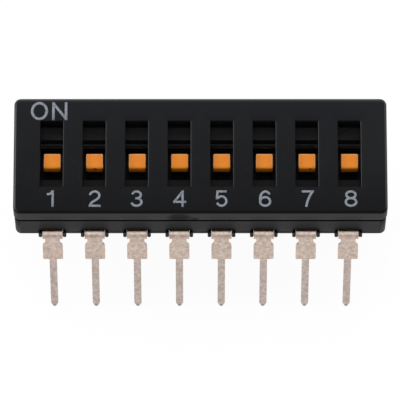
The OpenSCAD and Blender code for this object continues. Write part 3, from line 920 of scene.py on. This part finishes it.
# Strokes of each sign, in a box one wide (-0.5 to 0.5) and one high for their middle lines. A
# line gives its two ends, and a bar is a line whose ends run on by half the stroke. A bow gives
# centre, half sizes, and the angles in degrees from which and to which it runs. A bend gives the
# four points of a cubic curve.
signs = {
    "1": [
        ("bar", 0.5, 0.0, 0.5, 1.0),
        ("bend", -0.79, 0.81, -0.1, 0.80, 0.2, 0.84, 0.40, 1.04),
    ],
    "2": [
        ("bow", -0.01, 0.72, 0.48, 0.28, 175, -20),
        ("bend", 0.44, 0.624, 0.30, 0.36, -0.40, 0.34, -0.48, 0.02),
        ("bar", -0.5, 0.0, 0.5, 0.0),
    ],
    "3": [
        ("bow", -0.02, 0.76, 0.43, 0.24, 170, -90),
        ("bow", -0.02, 0.26, 0.50, 0.26, 90, -170),
        ("line", -0.14, 0.52, 0.02, 0.52),
    ],
    "4": [
        ("bar", 0.27, 0.0, 0.27, 1.0),
        ("bar", -0.5, 0.27, 0.5, 0.27),
        ("line", -0.5, 0.27, 0.27, 1.0),
    ],
    "5": [
        ("bar", -0.36, 1.0, 0.42, 1.0),
        ("bar", -0.40, 1.0, -0.47, 0.53),
        ("bow", 0.01, 0.325, 0.49, 0.325, 148, -160),
    ],
    "6": [("bow", 0.0, 0.30, 0.5, 0.30, 0, 360), ("bow", 0.03, 0.45, 0.53, 0.55, 38, 185)],
    "7": [("bar", -0.5, 1.0, 0.5, 1.0), ("bend", 0.47, 1.0, 0.16, 0.66, -0.08, 0.35, -0.17, -0.08)],
    "8": [("bow", 0.0, 0.767, 0.44, 0.233, 0, 360), ("bow", 0.0, 0.267, 0.5, 0.267, 0, 360)],
    "O": [("bow", 0.0, 0.5, 0.5, 0.5, 0, 360)],
    "N": [
        ("bar", -0.5, 0.0, -0.5, 1.0),
        ("line", -0.5, 1.0, 0.5, 0.0),
        ("bar", 0.5, 0.0, 0.5, 1.0),
    ],
}


# Middle line of one stroke, in millimetres on the face. A bow is centre + half sizes * (cos,
# sin) of a steady turn, and a bend weighs its four points by share and rest, its complement.
def strokeLine(stroke, centre, foot, width, height, thick, size):
    kind, numbers = stroke[0], np.array(stroke[1:])
    if kind == "bow":
        turn = np.radians(np.linspace(numbers[4], numbers[5], size["bowPoints"]))
        line = numbers[:2] + numbers[2:4] * np.stack([np.cos(turn), np.sin(turn)], -1)
    elif kind == "bend":
        share, p = np.linspace(0, 1, size["bendPoints"])[:, None], numbers.reshape(4, 2)
        rest = 1 - share
        line = rest ** 3 * p[0] + 3 * share * rest ** 2 * p[1]
        line = line + 3 * share ** 2 * rest * p[2] + share ** 3 * p[3]
    else:
        line = numbers.reshape(2, 2)
    line = np.array([centre, foot + thick / 2]) + line * (width - thick, height - thick)
    if kind == "bar":
        along = (line[1] - line[0]) / np.linalg.norm(line[1] - line[0]) * thick / 2
        line = np.array([line[0] - along, line[1] + along])
    return line


# A flat ribbon of ink along the line: four corners at each point, square to the line.
def inkRibbon(line, thick, low, high):
    along = np.gradient(line, axis=0)
    along /= np.linalg.norm(along, axis=1, keepdims=True)
    aside = np.stack([-along[:, 1], along[:, 0]], -1) * thick / 2
    left, right = line + aside, line - aside
    corners = ((left, high), (right, high), (right, low), (left, low))
    return closeEnds(np.stack([np.insert(p, 2, z, 1) for p, z in corners], 1))


# The two letters and the eight digits, each stroke of them a ribbon of its own.
def makeLegend(size):
    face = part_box("cover")[1][2] / mm - body["faceDrop"]
    low, high = face - size["root"], face + size["thickness"]
    printed = [
        (sign, centre, size["wordFoot"], width, height, size["wordStroke"])
        for sign, (centre, width, height) in size["words"].items()
    ]
    printed += [
        (sign, slotX(k) + aside, size["digitFoot"], width, size["digitHeight"], size["digitStroke"])
        for k, (sign, (aside, width)) in enumerate(size["digits"].items(), 1)
    ]
    grids = []
    for sign, *place, thick in printed:
        for layer, stroke in enumerate(signs[sign]):
            line = strokeLine(stroke, *place, thick, size)
            grids.append(inkRibbon(line, thick, low, high + layer * size["layer"]))
    addPiece("legendInk", meshFromGrids("legendInk", grids), ink, "housing")


makeLegend(legend)
print("legend made")


studio = {
    "floorSize": 1600,
    "floorGap": 0.01,  # between the paper and the tips of the legs
    "floorColour": "4c4c4c",
    "floorRoughness": 0.9,
    "floorLift": 0.93,  # how much whiter the paper shows than it is lit
    # how bright the room is at each height, from the horizon (0) to overhead (1)
    "room": [(0.0, 1.0), (0.15, 1.0), (0.28, 0.60), (0.55, 0.60), (0.85, 0.72)],
    # azimuth (0 is in front, 90 at the right), elevation, distance and side in mm, radiance
    "lamps": {
        "left": (-105, 38, 700, 400, 3.4),
        "right": (105, 38, 700, 400, 1.8),
        "front": (0, 68, 700, 400, 0.85),
        "back": (180, 48, 700, 400, 2.0),
    },
}


# The direction from the part to this azimuth and elevation, in degrees, one long.
def towards(azimuth, elevation):
    a, e = math.radians(azimuth), math.radians(elevation)
    return np.array([math.sin(a) * math.cos(e), -math.cos(a) * math.cos(e), math.sin(e)])


# Puts a lamp or the camera at a place, looking back along the direction.
def aimedFrom(thing, place, direction):
    thing.location = place
    thing.rotation_mode = "QUATERNION"
    thing.rotation_quaternion = Vector(-direction).to_track_quat("-Z", "Y")


# A square soft box of the given radiance, in which 1 shows as white.
def addLamp(name, azimuth, elevation, distance, side, radiance):
    light = bpy.data.lights.new(name, "AREA")
    light.shape = "SQUARE"
    light.size = side * mm
    light.energy = radiance * math.pi * light.size ** 2
    lamp = bpy.data.objects.new(name, light)
    bpy.context.scene.collection.objects.link(lamp)
    direction = towards(azimuth, elevation)
    aimedFrom(lamp, direction * distance * mm, direction)
    lamp.visible_camera = False


# The paper under the part. It is lit as any matte paper, so it keeps the part's soft shadow, and
# it glows where the camera, a gloss or a glass looks at it, so that it shows white.
def makeFloor(size):
    half = size["floorSize"] * mm / 2
    z = cadBox[0][2] - size["floorGap"] * mm
    corners = [(-half, -half, z), (half, -half, z), (half, half, z), (-half, half, z)]
    mesh = bpy.data.meshes.new("paperFloor")
    mesh.from_pydata(corners, [], [(0, 1, 2, 3)])
    floor = bpy.data.objects.new("paperFloor", mesh)
    bpy.context.scene.collection.objects.link(floor)
    material, tree = newMaterial("mattePaper")
    ray = addNode(tree, "ShaderNodeLightPath").outputs
    seen = {0: ray["Is Camera Ray"], 1: ray["Is Glossy Ray"]}
    seen = addNode(tree, "ShaderNodeMath", {"operation": "MAXIMUM"}, seen)
    seen = {0: seen, 1: ray["Is Transmission Ray"]}
    seen = addNode(tree, "ShaderNodeMath", {"operation": "MAXIMUM"}, seen)
    lift = {"operation": "MULTIPLY", 1: size["floorLift"]}
    lift = addNode(tree, "ShaderNodeMath", lift, {0: seen})
    shader = {
        "Base Color": linear(size["floorColour"]),
        "Roughness": size["floorRoughness"],
        "Specular IOR Level": 0.0,
        "Emission Color": (1, 1, 1, 1),
    }
    shader = addNode(tree, "ShaderNodeBsdfPrincipled", shader, {"Emission Strength": lift})
    addNode(tree, "ShaderNodeOutputMaterial", links={"Surface": shader})
    mesh.materials.append(material)


# The room is bright round the horizon, dimmer above it and a little brighter again overhead.
def makeRoom(size):
    world = bpy.data.worlds.new("studioRoom")
    bpy.context.scene.world = world
    world.use_nodes = True
    tree = world.node_tree
    where = addNode(tree, "ShaderNodeTexCoord").outputs["Generated"]
    height = addNode(tree, "ShaderNodeSeparateXYZ", links={"Vector": where}).outputs["Z"]
    ramp = addNode(tree, "ShaderNodeValToRGB", links={"Fac": height})
    stops = ramp.color_ramp.elements
    ready = len(stops)
    for k, (level, light) in enumerate(size["room"]):
        stop = stops[k] if k < ready else stops.new(level)
        stop.position, stop.color = level, (light, light, light, 1)
    tree.links.new(ramp.outputs["Color"], tree.nodes["Background"].inputs["Color"])


view = {
    "elevation": 70,
    "distance": 300,
    "target": (-0.024, -2.843, 3.72),
    "lens": 453.9,
    "sensor": 36,
    "clip": (10, 20000),
}


def makeCamera(size):
    data = bpy.data.cameras.new("camera")
    data.sensor_width = size["sensor"]
    data.lens = size["lens"]
    data.clip_start, data.clip_end = [distance * mm for distance in size["clip"]]
    camera = bpy.data.objects.new("camera", data)
    bpy.context.scene.collection.objects.link(camera)
    direction = towards(0, size["elevation"])
    aimedFrom(camera, (np.array(size["target"]) + direction * size["distance"]) * mm, direction)
    bpy.context.scene.camera = camera


for name, lamp in studio["lamps"].items():
    addLamp(name + "Softbox", *lamp)
makeFloor(studio)
makeRoom(studio)
makeCamera(view)
bpy.context.scene.view_settings.view_transform = "Standard"
print("studio made")

bpy.context.view_layer.update()
